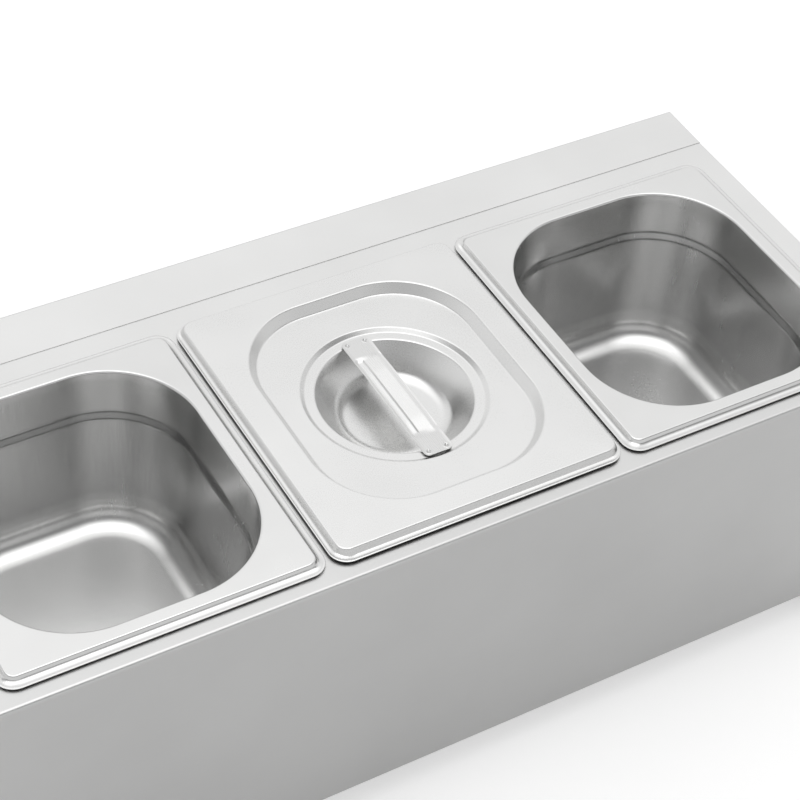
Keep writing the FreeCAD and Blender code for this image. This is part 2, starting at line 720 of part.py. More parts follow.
def dish_profile(offset_ring, offset_dish, drop, top):
    """Half section of the ring step and the dish, moved outwards and down by one sheet where asked."""
    floor = f"({LAND} - dims.dish_depth)"
    return [
        ("0", top),
        (f"({RING_RADIUS} + {offset_ring})", top),
        (f"({RING_RADIUS} + {offset_ring})", f"({RECESS_FLOOR} - {drop})"),
        (f"({LAND_RADIUS} + {offset_ring})", f"({LAND} - {drop})"),
        (f"({DISH_RADIUS} + {offset_dish})", f"({LAND} - {drop})"),
        (f"({DISH_RADIUS} - dims.dish_run + {offset_dish})", f"({floor} - {drop})"),
        ("0", f"({floor} - {drop})"),
    ]


def build_lid():
    """Drawn lid: lip, raised plateau, rounded recess, ring step and finger dish."""
    body = new_body("lid", y=ROW_Y, z=BRIM_TOP)
    thick = "dims.lid_sheet"
    underside = "dims.lid_rise"
    skirt_shift = bend_shift(thick, "dims.lid_run", "dims.lid_rise")
    recess_shift = bend_shift(thick, "dims.recess_run", "dims.recess_depth")
    ring_shift = bend_shift(thick, "dims.ring_run", "dims.ring_drop")
    dish_shift = bend_shift(thick, "dims.dish_run", "dims.dish_depth")
    top_inset = "(dims.lid_lip + dims.lid_run)"
    lip = rim_sketch(body, "lip_outline", "0", "0")
    extrude(body, "Pad", "lip", lip, thick)
    skirt = [
        rim_sketch(body, "skirt_foot", "dims.lid_lip", thick),
        rim_sketch(body, "skirt_top", top_inset, LID_TOP),
    ]
    loft(body, "Additive", "skirt", skirt)
    hollow = [
        rim_sketch(body, "hollow_foot", f"(dims.lid_lip + {skirt_shift})", "0"),
        rim_sketch(body, "hollow_top", f"({top_inset} + {skirt_shift})", underside),
    ]
    loft(body, "Subtractive", "hollow", hollow)
    recess_base = f"({RECESS_FLOOR} - {thick})"
    loft(body, "Additive", "recess_wall", recess_sections(body, "wall", recess_shift, underside, recess_base))
    revolve(body, "Revolution", "dish_wall", dish_profile(ring_shift, dish_shift, thick, RECESS_FLOOR))
    loft(body, "Subtractive", "recess", recess_sections(body, "recess", "0", LID_TOP, RECESS_FLOOR))
    revolve(body, "Groove", "dish", dish_profile("0", "0", "0", f"({RECESS_FLOOR} + {thick})"))
    round_lid(body, top_inset, recess_base, recess_shift, dish_shift)
    return body


def round_lid(body, top_inset, recess_base, recess_shift, dish_shift):
    """Round the lid's drawn edges from the rim in to the dish."""
    near = "dims.lid_sheet / 4"
    mouth = f"({RECESS_WIDTH} / 2)"
    foot = f"({mouth} - dims.recess_run)"
    dish_floor = f"({LAND} - dims.dish_depth)"
    dish_foot = f"({DISH_RADIUS} - dims.dish_run)"
    rounds = [
        ("plateau_edge", LID_TOP, f"(dims.pan_width / 2 - {top_inset})", "dims.lid_round"),
        ("recess_mouth", LID_TOP, mouth, "dims.recess_round"),
        ("recess_inside", RECESS_FLOOR, foot, "dims.recess_round"),
        ("recess_outside", recess_base, f"({foot} + {recess_shift})", "(dims.recess_round + dims.lid_sheet)"),
        ("ring_edge", RECESS_FLOOR, RING_RADIUS, "dims.ring_round"),
        ("ring_inside", LAND, LAND_RADIUS, "dims.ring_round"),
        ("dish_edge", LAND, DISH_RADIUS, "dims.dish_round"),
        ("dish_inside", dish_floor, dish_foot, "dims.dish_floor_round"),
        (
            "dish_outside",
            f"({dish_floor} - dims.lid_sheet)",
            f"({dish_foot} + {dish_shift})",
            "(dims.dish_floor_round + dims.lid_sheet)",
        ),
    ]
    for label, height, reach, radius in rounds:
        edges = level_edges(body.Tip, height, f"({reach} - {near})", f"({reach} + {near})")
        fillet(body, label, edges, radius)


def build_lid_handle():
    """Flat strap across the dish, set a little to the front, with a hollow bead and four weld dimples."""
    body = new_body("lid_handle", y=f"({ROW_Y} - dims.strap_off_front)", z=f"({BRIM_TOP} + {LAND})")
    outline = rounded_sketch(body, "strap_outline", "dims.strap_width", STRAP_LENGTH, "dims.strap_corner", "0")
    extrude(body, "Pad", "strap", outline, "dims.strap_sheet")
    bead_corner = "((dims.bead_width - dims.bead_end_flat) / 2)"
    bead = rounded_sketch(body, "bead_outline", "dims.bead_width", BEAD_LENGTH, bead_corner, "dims.strap_sheet")
    extrude(body, "Pad", "bead", bead, "dims.bead_height")
    crown = level_edges(body.Tip, "dims.strap_sheet + dims.bead_height", "0", "dims.bead_width")
    fillet(body, "bead_crown", crown, "dims.bead_round")
    channel_width = "(dims.bead_width - 2 * dims.strap_sheet)"
    channel_length = f"({BEAD_LENGTH} - 2 * dims.strap_sheet)"
    channel_corner = f"(({channel_width} - dims.bead_end_flat) / 2)"
    channel = rounded_sketch(body, "channel_outline", channel_width, channel_length, channel_corner, "0")
    extrude(body, "Pocket", "channel", channel, "dims.bead_height", reverse=True)
    weld_y = f"({STRAP_LENGTH} / 2 - dims.weld_inset)"
    ball_z = "(dims.strap_sheet + dims.weld_ball - dims.weld_depth)"
    for index, (side_x, side_y) in enumerate([(-1, -1), (1, -1), (1, 1), (-1, 1)]):
        ball = body.newObject("PartDesign::SubtractiveSphere", f"weld_{index}")
        ball.setExpression("Radius", "dims.weld_ball")
        ball.setExpression("Placement.Base.x", f"{side_x} * dims.weld_spacing / 2")
        ball.setExpression("Placement.Base.y", f"{side_y} * {weld_y}")
        ball.setExpression("Placement.Base.z", ball_z)
        finish_feature(body, ball)
    return body


def build_all():
    """Every sub-part of the holder."""
    pieces = [build_deck_shell(), build_rear_panel()]
    for name, side in (("left", -1), ("right", 1)):
        pieces.append(build_end_panel(f"{name}_end_panel", side))
        pieces.append(build_cross_rail(f"{name}_cross_rail", side))
        pieces.append(build_rear_rivets(f"{name}_rear_rivets", side))
        x = f"({side} * {FOOT_X})"
        pieces.append(build_foot(f"foot_front_{name}", x, FOOT_FRONT_Y))
        pieces.append(build_foot(f"foot_rear_{name}", x, FOOT_REAR_Y))
    pieces += [build_foot_washers(), build_foot_screws(), build_foot_nuts()]
    for name, x in (("left", f"-{PITCH}"), ("middle", "0"), ("right", PITCH)):
        pieces.append(build_pan(f"pan_{name}", x))
    pieces += [build_lid(), build_lid_handle()]
    return pieces


def check(pieces):
    """Stop if any object failed or any sub-part has no valid solid."""
    doc.recompute()
    for item in doc.Objects:
        if "Invalid" in item.State or "Error" in item.State:
            raise RuntimeError(f"{item.Label} failed: {item.State}")
    for piece in pieces:
        if piece.Shape.isNull() or not piece.Shape.isValid() or not piece.Shape.Solids:
            raise RuntimeError(f"{piece.Label} has no valid solid")


def write(pieces):
    """One STEP file for each sub-part, named by its label."""
    os.makedirs("parts", exist_ok=True)
    for piece in pieces:
        piece.Shape.exportStep(f"parts/{piece.Label}.step")


all_pieces = build_all()
check(all_pieces)
write(all_pieces)
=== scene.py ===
"""Dressed gastronorm pan holder: satin sheet steel, drawn pans, a drawn lid and its strap handle.

Metres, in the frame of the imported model: +X along the row of pans, +Y to the back, +Z up.
"""

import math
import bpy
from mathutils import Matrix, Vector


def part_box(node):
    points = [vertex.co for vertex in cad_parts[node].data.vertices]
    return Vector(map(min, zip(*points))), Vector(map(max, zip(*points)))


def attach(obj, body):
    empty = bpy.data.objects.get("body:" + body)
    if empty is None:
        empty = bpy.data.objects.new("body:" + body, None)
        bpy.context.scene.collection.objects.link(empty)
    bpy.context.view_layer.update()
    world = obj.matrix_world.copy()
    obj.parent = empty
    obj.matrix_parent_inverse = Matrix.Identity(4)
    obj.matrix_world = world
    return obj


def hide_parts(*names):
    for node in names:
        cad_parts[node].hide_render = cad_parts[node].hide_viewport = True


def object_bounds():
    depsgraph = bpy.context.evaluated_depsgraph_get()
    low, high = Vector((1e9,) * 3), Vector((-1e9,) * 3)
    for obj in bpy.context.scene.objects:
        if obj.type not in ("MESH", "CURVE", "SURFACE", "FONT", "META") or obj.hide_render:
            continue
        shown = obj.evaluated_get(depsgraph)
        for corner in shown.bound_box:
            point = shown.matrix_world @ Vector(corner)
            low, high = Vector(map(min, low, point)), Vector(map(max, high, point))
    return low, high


bl_info = {
    "name": "Gastronorm Pan Holder",
    "version": (1, 0, 0),
    "blender": (4, 5, 0),
    "location": "View3D > Sidebar > Pan Holder",
    "description": "Draws the pans, lid and handle of a pan holder, finishes its steel and lights it",
    "category": "Add Mesh",
}

from collections import namedtuple

import bpy
import numpy as np
from bpy.props import FloatProperty, FloatVectorProperty, PointerProperty
from mathutils import Quaternion, Vector

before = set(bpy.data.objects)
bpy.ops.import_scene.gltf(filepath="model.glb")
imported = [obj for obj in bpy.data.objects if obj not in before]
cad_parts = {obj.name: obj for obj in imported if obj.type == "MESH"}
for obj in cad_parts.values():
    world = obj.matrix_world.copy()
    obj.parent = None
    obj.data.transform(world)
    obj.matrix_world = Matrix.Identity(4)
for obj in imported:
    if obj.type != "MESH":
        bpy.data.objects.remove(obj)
CAD_LOW, CAD_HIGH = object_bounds()

MM = 0.001
PANS = ("pan_left", "pan_middle", "pan_right")
COVERED_PAN = "pan_middle"
SHEETS = (
    "deck_shell",
    "rear_panel",
    "left_end_panel",
    "right_end_panel",
    "left_cross_rail",
    "right_cross_rail",
)
FEET = ("foot_front_left", "foot_front_right", "foot_rear_left", "foot_rear_right")
FOOT_FASTENERS = ("foot_washers", "foot_screws", "foot_nuts")
REAR_RIVETS = ("left_rear_rivets", "right_rear_rivets")
TINY = 1e-12

# Points along one end, one side and one corner of the strap's outline
STRAP_END, STRAP_SIDE, STRAP_CORNER = 40, 110, 14

# Grain of each steel: stretch along X, Y and Z, noise scale, depth of the relief and scale of the clouds
Grain = namedtuple("Grain", "stretch scale depth clouds")
ALONG_ROW = Grain((1.0, 30.0, 30.0), 60.0, 0.003 * MM, 14.0)
DOWN_WALL = Grain((18.0, 18.0, 1.0), 40.0, 0.0015 * MM, 18.0)
FINE_MATT = Grain((1.0, 1.0, 1.0), 2500.0, 0.0002 * MM, 16.0)
ALONG_STRAP = Grain((30.0, 1.0, 30.0), 90.0, 0.0003 * MM, 30.0)
PLAIN = Grain((10.0, 10.0, 10.0), 200.0, 0.01 * MM, 90.0)
EVEN = (1.0, 1.0, 1.0)
NOISE_RANGE = (0.25, 0.75)
TINT_RANGE = (0.3, 0.7)

# Distances from a place on the object over which painted shade in a steel's colour fades
FRONT_SHADE_SPAN = (12 * MM, 70 * MM)
SHOULDER_SHADE_SPAN = (2 * MM, 4 * MM)
WALL_SHADE_MARGINS = (6 * MM, 2 * MM)

# Sky: directions, and the cosines from them at which each part starts and is full
BEHIND, UP, BACK_RIGHT = (0.0, 0.6, 0.8), (0.0, 0.0, 1.0), (0.56, 0.83, 0.0)
PALE_SPAN, BAND_RISE, BAND_CLOSE = (0.05, 0.8), (0.46, 0.66), (0.80, 0.93)
FRONT_FADE, OVER_SPAN = (0.15, 0.45), (0.70, 0.92)

# Stage, in metres; the sensor in millimetres
FLOOR_REACH = 8.0
KEY_SIZE, KEY_PLACE, KEY_AIM = (1.4, 0.9), (-0.1, -0.2, 1.4), (0.0, 0.0, 0.1)
SENSOR, CLIP = 36.0, (0.05, 50.0)


def length(name, millimetres, description):
    """A size in metres, given in millimetres."""
    return FloatProperty(name=name, description=description, default=millimetres * MM, min=0.0, unit="LENGTH")


def colour(name, value, description):
    """A linear colour."""
    return FloatVectorProperty(
        name=name, description=description, default=value, size=3, min=0.0, max=1.0, subtype="COLOR"
    )


def factor(name, value, description):
    """A plain number from nought up."""
    return FloatProperty(name=name, description=description, default=value, min=0.0)


# What a user may change
class PanSizes(bpy.types.PropertyGroup):
    """Sizes of the drawn pans."""

    sheet: length("Sheet", 0.8, "Thickness of the drawn sheet")
    corner: length("Rim corner", 10.0, "Radius of the rim's corners")
    brim: length("Brim", 3.5, "Width of the flat brim")
    band_run: length("Band run", 1.7, "How far the band's slope runs inwards")
    band_height: length("Band height", 2.8, "How far the band stands above the brim")
    mouth_margin: length("Mouth margin", 12.5, "From the rim to the mouth")
    mouth_corner: length("Mouth corner", 48.0, "Radius of the mouth's corners")
    draft: length("Draft", 5.0, "How far the walls lean in from mouth to floor")
    shoulder_depth: length("Shoulder depth", 26.0, "From the band down to the stacking shoulder")
    shoulder_drop: length("Shoulder drop", 4.2, "Height of the shoulder's slope")
    shoulder_step: length("Shoulder step", 1.6, "How far the shoulder steps in")
    floor_round: length("Floor rounding", 15.0, "Radius between walls and floor")
    droop: length("Brim droop", 0.15, "How far the brim falls away to its edge")
    edge: length("Cut edge", 0.25, "Height of the brim's cut edge, eased from below")
    brim_play: length("Brim play", 0.3, "How far an open pan's brim stays inside its place")
    under_lid: length("Under the lid", 2.6, "How far the covered pan's brim stays inside the lid's edge")


class LidSizes(bpy.types.PropertyGroup):
    """Sizes of the drawn lid."""

    sheet: length("Sheet", 0.6, "Thickness of the drawn sheet")
    corner: length("Lip corner", 10.0, "Radius of the lip's corners")
    lip: length("Lip", 1.4, "Width of the flat lip at the sides")
    lip_end: length("Lip end", 1.2, "Width of the flat lip at the front and back")
    lip_play: length("Lip play", 0.5, "How far the lip stays inside its place at the sides")
    lip_play_end: length("Lip end play", 0.2, "How far the lip stays inside its place, front and back")
    skirt_run: length("Skirt run", 2.0, "How far the skirt leans in at the sides")
    skirt_run_end: length("Skirt end run", 2.5, "How far the skirt leans in at the front and back")
    skirt_rise: length("Skirt rise", 4.8, "Height of the skirt")
    recess_side: length("Recess side margin", 18.5, "From the lip's edge to the recess, along the row")
    recess_end: length("Recess end margin", 17.0, "From the lip's edge to the recess, front and back")
    recess_corner: length("Recess corner", 45.0, "Radius of the recess's corners")
    recess_depth: length("Recess depth", 5.4, "From the top down to the recess's floor")
    recess_run: length("Recess run", 4.0, "How far the recess's wall leans in")
    ring_radius: length("Ring radius", 47.3, "Radius of the ring step's edge")
    ring_run: length("Ring run", 2.3, "How far the ring step leans in")
    ring_drop: length("Ring drop", 1.8, "Height of the ring step")
    dish_radius: length("Dish radius", 40.0, "Radius of the finger dish's edge")
    dish_run: length("Dish run", 12.2, "How far the dish's wall leans in")
    dish_depth: length("Dish depth", 15.0, "Depth of the finger dish")
    droop: length("Lip droop", 0.35, "How far the lip falls away to its edge")
    edge: length("Cut edge", 0.25, "Height of the lip's cut edge, eased from below")
    crown: length("Crown", 0.3, "How far the flat top falls away to the skirt")


class StrapSizes(bpy.types.PropertyGroup):
    """Sizes of the strap handle."""

    sheet: length("Sheet", 1.0, "Thickness of the strap")
    corner: length("Corner", 3.0, "Radius of the strap's corners")
    sink_run: length("Sink run", 2.6, "Width of the fall from the near edge")
    toe: length("Toe rise", 0.2, "How far the grip rises gently before its flank")
    toe_run: length("Toe run", 2.2, "Width of the gentle rise")
    flank: length("Flank rise", 0.65, "Height of the grip's flank")
    flank_run: length("Flank run", 1.4, "Width of the flank")
    flank_start: length("Flank start", 3.4, "From the strap's middle line to the flank's foot")
    crown: length("Crown rise", 0.8, "How far the grip's top leans up across the strap")
    crown_end: length("Crown end", 4.6, "From the strap's middle line to the highest point")
    fall: length("Far fall", 0.7, "How far the grip falls from its highest point to the far edge")
    arch: length("Arch", 0.5, "How far the strap's middle stands above its ends")
    arch_run: length("Arch run", 14.0, "How far the arch runs in as it rises")
    bead_margin: length("Grip end margin", 12.5, "From the strap's end to the grip")
    bead_end: length("Grip end run", 4.5, "How far the grip's front end runs in as it rises")
    bead_back: length("Grip back run", 3.2, "How far the grip's back end runs in as it rises")
    weld_side: length("Weld spacing", 5.0, "From the strap's middle line to each weld dimple")
    weld_end: length("Weld inset", 2.6, "From the strap's end to the weld dimples")
    weld_radius: length("Weld radius", 1.2, "Radius of a weld dimple")
    weld_depth: length("Weld depth", 0.85, "Depth of a weld dimple")
    weld_rim: length("Weld rim", 0.1, "Height of the rim pushed up round a weld dimple")
    lift: length("Edge lift", 0.3, "How far the strap rises to its edges")
    lift_run: length("Edge lift run", 2.0, "Width of the rise to each edge")
    edge: length("Cut edge", 0.45, "Height of the strap's cut edge, eased from below")


class Finishes(bpy.types.PropertyGroup):
    """Colours and gloss of the surfaces, and the shares of colour kept where shade is painted."""

    holder_colour: colour("Holder steel", (0.76, 0.76, 0.755), "Colour of the bent sheets")
    pan_colour: colour("Pan steel", (0.76, 0.76, 0.755), "Colour of the drawn pans")
    lid_colour: colour("Lid steel", (0.77, 0.77, 0.765), "Colour of the lid")
    handle_colour: colour("Handle steel", (0.80, 0.80, 0.795), "Colour of the strap handle")
    fastener_colour: colour("Fastener steel", (0.62, 0.62, 0.61), "Colour of the rivets and foot fasteners")
    rubber_colour: colour("Foot rubber", (0.032, 0.032, 0.034), "Colour of the feet")
    holder_roughness: factor("Holder roughness", 0.36, "How satin the bent sheets are")
    pan_roughness: factor("Pan roughness", 0.25, "How satin the pans are")
    lid_roughness: factor("Lid roughness", 0.28, "How satin the lid is")
    handle_roughness: factor("Handle roughness", 0.27, "How satin the handle is")
    fastener_roughness: factor("Fastener roughness", 0.36, "How satin the fasteners are")
    # Painted shade: each share below darkens a steel's colour where shade falls on it
    front_painted_shade: factor("Front tone", 0.91, "Share of the holder's colour left at its front")
    shoulder_painted_shade: factor("Shoulder tone", 0.8, "Share of the pans' colour left at the stacking shoulder")
    wall_painted_shade: factor("Wall tone", 0.86, "Share of the pans' colour left on the walls")
    strap_end_painted_shade: factor("Strap end tone", 0.87, "Share of the handle's colour left at its ends")


class Studio(bpy.types.PropertyGroup):
    """Camera, floor and light."""

    lens: FloatProperty(name="Lens", description="Focal length in millimetres", default=99.37, min=1.0)
    azimuth: FloatProperty(name="Azimuth", description="Camera's turn about +Z, degrees", default=-34.16)
    elevation: FloatProperty(name="Elevation", description="Camera's height angle, degrees", default=44.614)
    roll: FloatProperty(name="Roll", description="Camera's tilt about its own axis, degrees", default=6.14)
    distance: FloatProperty(name="Distance", description="Camera to target", default=1.08728, unit="LENGTH")
    target: FloatVectorProperty(
        name="Target", description="Point in the picture's centre", default=(-0.000945, -0.025424, 0.1921)
    )
    floor_colour: colour("Floor", (0.62, 0.62, 0.62), "Colour of the floor")
    floor_glow: factor("Floor glow", 0.52, "White added to the floor where the camera sees it")
    floor_gleam: factor("Floor gleam", 0.14, "White added to the floor where reflections see it")
    sky_around: factor("Sky around", 0.75, "Brightness of the studio's walls")
    sky_back: factor("Sky behind", 0.95, "Brightness of the studio above and behind")
    sky_dark: factor("Dark side", 0.18, "Brightness of the dark band in front and to the left")
    sky_over: factor("Overhead glow", 0.45, "Brightness added straight above")
    key_power: factor("Key light", 1.5, "Power of the soft light overhead, in watts")


# Surfaces worked out on grids
def loop_angles(half_x, half_y, corner, per_side=26, per_corner=14):
    """Directions from the centre to points along a rounded rectangle, closer together at its corners.

    In the first quarter, points are even in angle along the two straight stretches and even along the
    corner's arc. The other quarters mirror it.
    """
    arc = np.linspace(0.0, math.pi / 2, per_corner + 1)
    arc_x = half_x - corner + corner * np.cos(arc)
    arc_y = half_y - corner + corner * np.sin(arc)
    bend = np.arctan2(arc_y, arc_x)
    low = np.linspace(0.0, bend[0], per_side, endpoint=False)[1:]
    high = np.linspace(bend[-1], math.pi / 2, per_side, endpoint=False)[1:]
    quarter = np.concatenate([low, bend, high])
    half_turn = np.concatenate([[0.0], quarter, [math.pi / 2], math.pi - quarter[::-1]])
    return np.concatenate([half_turn, half_turn + math.pi])


def rounded_loops(angles, outlines):
    """Points and plan normals where rays from the centre meet rounded rectangles, one row per outline.

    A ray's length is half x over cosine on a side, half y over sine on an end, and on a corner the far root
    of the circle's equation. The normal points away from the nearest point of the inner rectangle.
    """
    half_x, half_y, corner = (outlines[:, column, None] for column in range(3))
    ray_x, ray_y = np.cos(angles)[None, :], np.sin(angles)[None, :]
    across = np.maximum(np.abs(ray_x), TINY)
    along = np.maximum(np.abs(ray_y), TINY)
    core_x, core_y = half_x - corner, half_y - corner
    side, end = half_x / across, half_y / along
    middle = across * core_x + along * core_y
    reach = middle ** 2 - core_x ** 2 - core_y ** 2 + corner ** 2
    arc = middle + np.sqrt(np.maximum(reach, 0.0))
    ray = np.where(side * along <= core_y, side, np.where(end * across <= core_x, end, arc))
    x, y = ray * ray_x, ray * ray_y
    out_x = np.maximum(np.abs(x) - core_x, 0.0)
    out_y = np.maximum(np.abs(y) - core_y, 0.0)
    size = np.maximum(np.hypot(out_x, out_y), TINY)
    return x, y, np.sign(x) * out_x / size, np.sign(y) * out_y / size


def sided_loops(outlines, per_end, per_side, per_corner):
    """Points and plan normals of rounded rectangles with the same number of points on each stretch.

    A point is its place on the inner rectangle plus the corner radius along its normal.
    """
    turn = np.linspace(0.0, math.pi / 2, per_corner + 1)
    run_side = np.linspace(-1.0, 1.0, per_side, endpoint=False)[1:]
    run_end = np.linspace(1.0, -1.0, per_end, endpoint=False)[1:]
    ones_side, ones_end, ones_turn = np.ones_like(run_side), np.ones_like(run_end), np.ones_like(turn)
    place_x = [ones_side, ones_turn, run_end, -ones_turn]
    place_y = [run_side, ones_turn, ones_end, ones_turn]
    normal_x = [ones_side, np.cos(turn), 0 * run_end, -np.sin(turn)]
    normal_y = [0 * run_side, np.sin(turn), ones_end, np.cos(turn)]
    half = [np.concatenate(part) for part in (place_x, place_y, normal_x, normal_y)]
    place_x, place_y, normal_x, normal_y = (np.concatenate([part, -part])[None, :] for part in half)
    half_x, half_y, corner = (outlines[:, column, None] for column in range(3))
    x = (half_x - corner) * place_x + corner * normal_x
    y = (half_y - corner) * place_y + corner * normal_y
    ones = np.ones_like(corner)
    return x, y, normal_x * ones, normal_y * ones


def trace_bends(stations, steps):
    """Rows of a bent sheet's profile: outline, height and the profile's normal, outwards and up.

    A station is (half x, half y, corner, height, radius). Straight runs join the stations. At each one but
    the first and last the runs meet in an arc about a centre one radius from both: its normals turn evenly
    from the first run's to the second's. Moving out by d adds d to half x, half y and corner alike.
    """
    stations = np.asarray(stations, float)
    runs = np.stack([np.diff(stations[:, 0]), np.diff(stations[:, 3])], axis=1)
    runs /= np.linalg.norm(runs, axis=1, keepdims=True)
    share = np.linspace(0.0, 1.0, steps + 1)
    rows = []
    for station, before, after in zip(stations[1:-1], runs[:-1], runs[1:]):
        turn = math.atan2(before[0] * after[1] - before[1] * after[0], before @ after)
        radius = math.copysign(station[4], turn)
        normal = np.array([-before[1], before[0]])
        centre = radius * normal - station[4] * math.tan(abs(turn) / 2) * before
        sine, cosine = np.sin(share * turn), np.cos(share * turn)
        out = cosine * normal[0] - sine * normal[1]
        up = sine * normal[0] + cosine * normal[1]
        moved = centre[0] - radius * out
        height = station[3] + centre[1] - radius * up
        outline = station[None, :3] + moved[:, None]
        rows.append(np.column_stack([outline, height, out, up]))
    return np.concatenate(rows)


def underside(rows, sheet):
    """The same rows on the sheet's other face, one thickness along the normals, from the rim inwards."""
    back = rows[::-1].copy()
    back[:, :3] -= sheet * back[:, 4:5]
    back[:, 3] -= sheet * back[:, 5]
    back[:, 4:] *= -1
    return back


def grid_faces(rows, columns):
    """Quads between neighbouring rows of points; the columns close on themselves."""
    row = np.arange(rows - 1)[:, None] * columns
    column = np.arange(columns)[None, :]
    following = (column + 1) % columns
    below = row + columns
    quads = np.stack([row + column, below + column, below + following, row + following], axis=-1)
    return quads.reshape(-1, 4).tolist()


def fold_faces(first, columns, side):
    """Faces that close a long narrow loop by joining the points that face each other across it.

    The loop starts on a long side of side - 1 points, then a corner and half of the end lead to its middle.
    """
    middle = columns // 4 + side // 2 - 1
    steps = range(columns // 2 + 1)
    pairs = [(first + (middle + step) % columns, first + (middle - step) % columns) for step in steps]
    faces = []
    for (near_left, near_right), (far_left, far_right) in zip(pairs[:-1], pairs[1:]):
        corners = [near_left, far_left, far_right, near_right]
        faces.append(list(dict.fromkeys(corners)))
    return faces


def make_piece(name, points, normals, faces, material):
    """A smooth mesh object at the origin with its own normals."""
    mesh = bpy.data.meshes.new(name)
    mesh.from_pydata(points.tolist(), [], faces, shade_flat=False)
    mesh.update()
    mesh.normals_split_custom_set_from_vertices(normals.tolist())
    mesh.materials.append(material)
    piece = bpy.data.objects.new(name, mesh)
    bpy.context.scene.collection.objects.link(piece)
    return piece


def drawn_sheet(name, rows, angles, centre, material):
    """Closed shell of a drawn sheet: loops of points on the profile's rows, with a point at each pole."""
    x, y, normal_x, normal_y = rounded_loops(angles, rows[:, :3])
    z = np.broadcast_to(rows[:, 3, None], x.shape)
    out, up = rows[:, 4, None], rows[:, 5, None]
    points = np.stack([x, y, z], axis=-1).reshape(-1, 3)
    normals = np.stack([out * normal_x, out * normal_y, up * np.ones_like(x)], axis=-1).reshape(-1, 3)
    count, columns = x.shape
    poles = np.array([[0.0, 0.0, rows[0, 3]], [0.0, 0.0, rows[-1, 3]]])
    points = np.concatenate([points, poles]) + np.asarray(centre)
    normals = np.concatenate([normals, [[0.0, 0.0, 1.0], [0.0, 0.0, -1.0]]])
    column = np.arange(columns)
    following = (column + 1) % columns
    last, top, bottom = (count - 1) * columns, count * columns, count * columns + 1
    fan_top = np.stack([np.full(columns, top), column, following], axis=1).tolist()
    fan_bottom = np.stack([np.full(columns, bottom), last + following, last + column], axis=1).tolist()
    return make_piece(name, points, normals, grid_faces(count, columns) + fan_top + fan_bottom, material)


def inset(outline, distance):
    """An outline moved inwards."""
    return tuple(value - distance for value in outline)


# Pieces
def box_centre(node):
    """Middle of a node's box and its half sizes."""
    low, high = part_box(node)
    return (low + high) / 2, (high - low) / 2


def pan_rows(sizes, half, shy=0.0):
    """Profile of a pan from the middle of its floor, up the wall, over the band and out to the brim."""
    outline = (half.x, half.y, sizes.corner)
    rim = inset(outline, shy)
    mouth = (half.x - sizes.mouth_margin, half.y - sizes.mouth_margin, sizes.mouth_corner)
    band_top = sizes.sheet + sizes.band_height
    depth = 2 * half.z
    lean = sizes.draft / depth
    floor = inset(mouth, sizes.draft + sizes.shoulder_step)
    shoulder_end = sizes.shoulder_depth + sizes.shoulder_drop
    shoulder_low = inset(mouth, lean * shoulder_end + sizes.shoulder_step)
    shoulder_high = inset(mouth, lean * sizes.shoulder_depth)
    floor_height = band_top - depth + sizes.sheet
    middle = (0.0, 0.0, 0.0, floor_height, 0.0)
    wall_round, mouth_round, edge_round, cut_round = 6 * MM, 1.4 * MM, 1.2 * MM, 0.25 * MM
    upper = [
        middle,
        (*floor, floor_height, sizes.floor_round),
        (*shoulder_low, band_top - shoulder_end, wall_round),
        (*shoulder_high, band_top - sizes.shoulder_depth, wall_round),
        (*mouth, band_top, mouth_round),
        (*inset(outline, sizes.brim + sizes.band_run), band_top, edge_round),
        (*inset(outline, sizes.brim), sizes.sheet, edge_round),
        (*rim, sizes.sheet - sizes.droop, cut_round),
    ]
    return sheet_rows(upper, rim, sizes, cut_round)


def sheet_rows(upper, rim, sizes, cut_round, steps=8):
    """Upper face, rounded cut edge and underside of a drawn sheet."""
    low = upper[-1][3] - sizes.edge
    eased = inset(rim, 2 * sizes.sheet)
    edge = [upper[-2], upper[-1], (*rim, low, cut_round), (*eased, low - sizes.sheet + sizes.edge, 0.0)]
    face = trace_bends(upper, steps)
    inner = face[:-(steps + 1)]
    return np.concatenate([face, trace_bends(edge, steps // 2), underside(inner, sizes.sheet)])


def lid_rows(sizes, half):
    """Profile of the lid from the middle of its dish out over ring, recess and top to the lip."""
    rim = (half.x - sizes.lip_play, half.y - sizes.lip_play_end, sizes.corner - sizes.lip_play)
    foot = (rim[0] - sizes.lip, rim[1] - sizes.lip_end, rim[2] - sizes.lip)
    brow = (foot[0] - sizes.skirt_run, foot[1] - sizes.skirt_run_end, foot[2] - sizes.skirt_run)
    top = sizes.sheet + sizes.skirt_rise
    recess_floor = top - sizes.recess_depth
    land = recess_floor - sizes.ring_drop
    dish_floor = land - sizes.dish_depth
    dish = (sizes.dish_radius,) * 3
    ring = (sizes.ring_radius,) * 3
    recess = (half.x - sizes.recess_side, half.y - sizes.recess_end, sizes.recess_corner)
    dish_round, ledge_round, ring_round, recess_round = 9 * MM, 1.5 * MM, 1.2 * MM, 1.4 * MM
    top_round, lip_round, cut_round = 1.2 * MM, 0.3 * MM, 0.2 * MM
    upper = [
        (0.0, 0.0, 0.0, dish_floor, 0.0),
        (*inset(dish, sizes.dish_run), dish_floor, dish_round),
        (*dish, land, ledge_round),
        (*inset(ring, sizes.ring_run), land, ring_round),
        (*ring, recess_floor, ring_round),
        (*inset(recess, sizes.recess_run), recess_floor, recess_round),
        (*recess, top, recess_round),
        (*brow, top - sizes.crown, top_round),
        (*foot, sizes.sheet, lip_round),
        (*rim, sizes.sheet - sizes.droop, cut_round),
    ]
    return sheet_rows(upper, rim, sizes, cut_round)


def smooth(value):
    """Smooth step t^2 (3 - 2 t), with t held between 0 and 1."""
    share = np.clip(value, 0.0, 1.0)
    return share ** 2 * (3 - 2 * share)


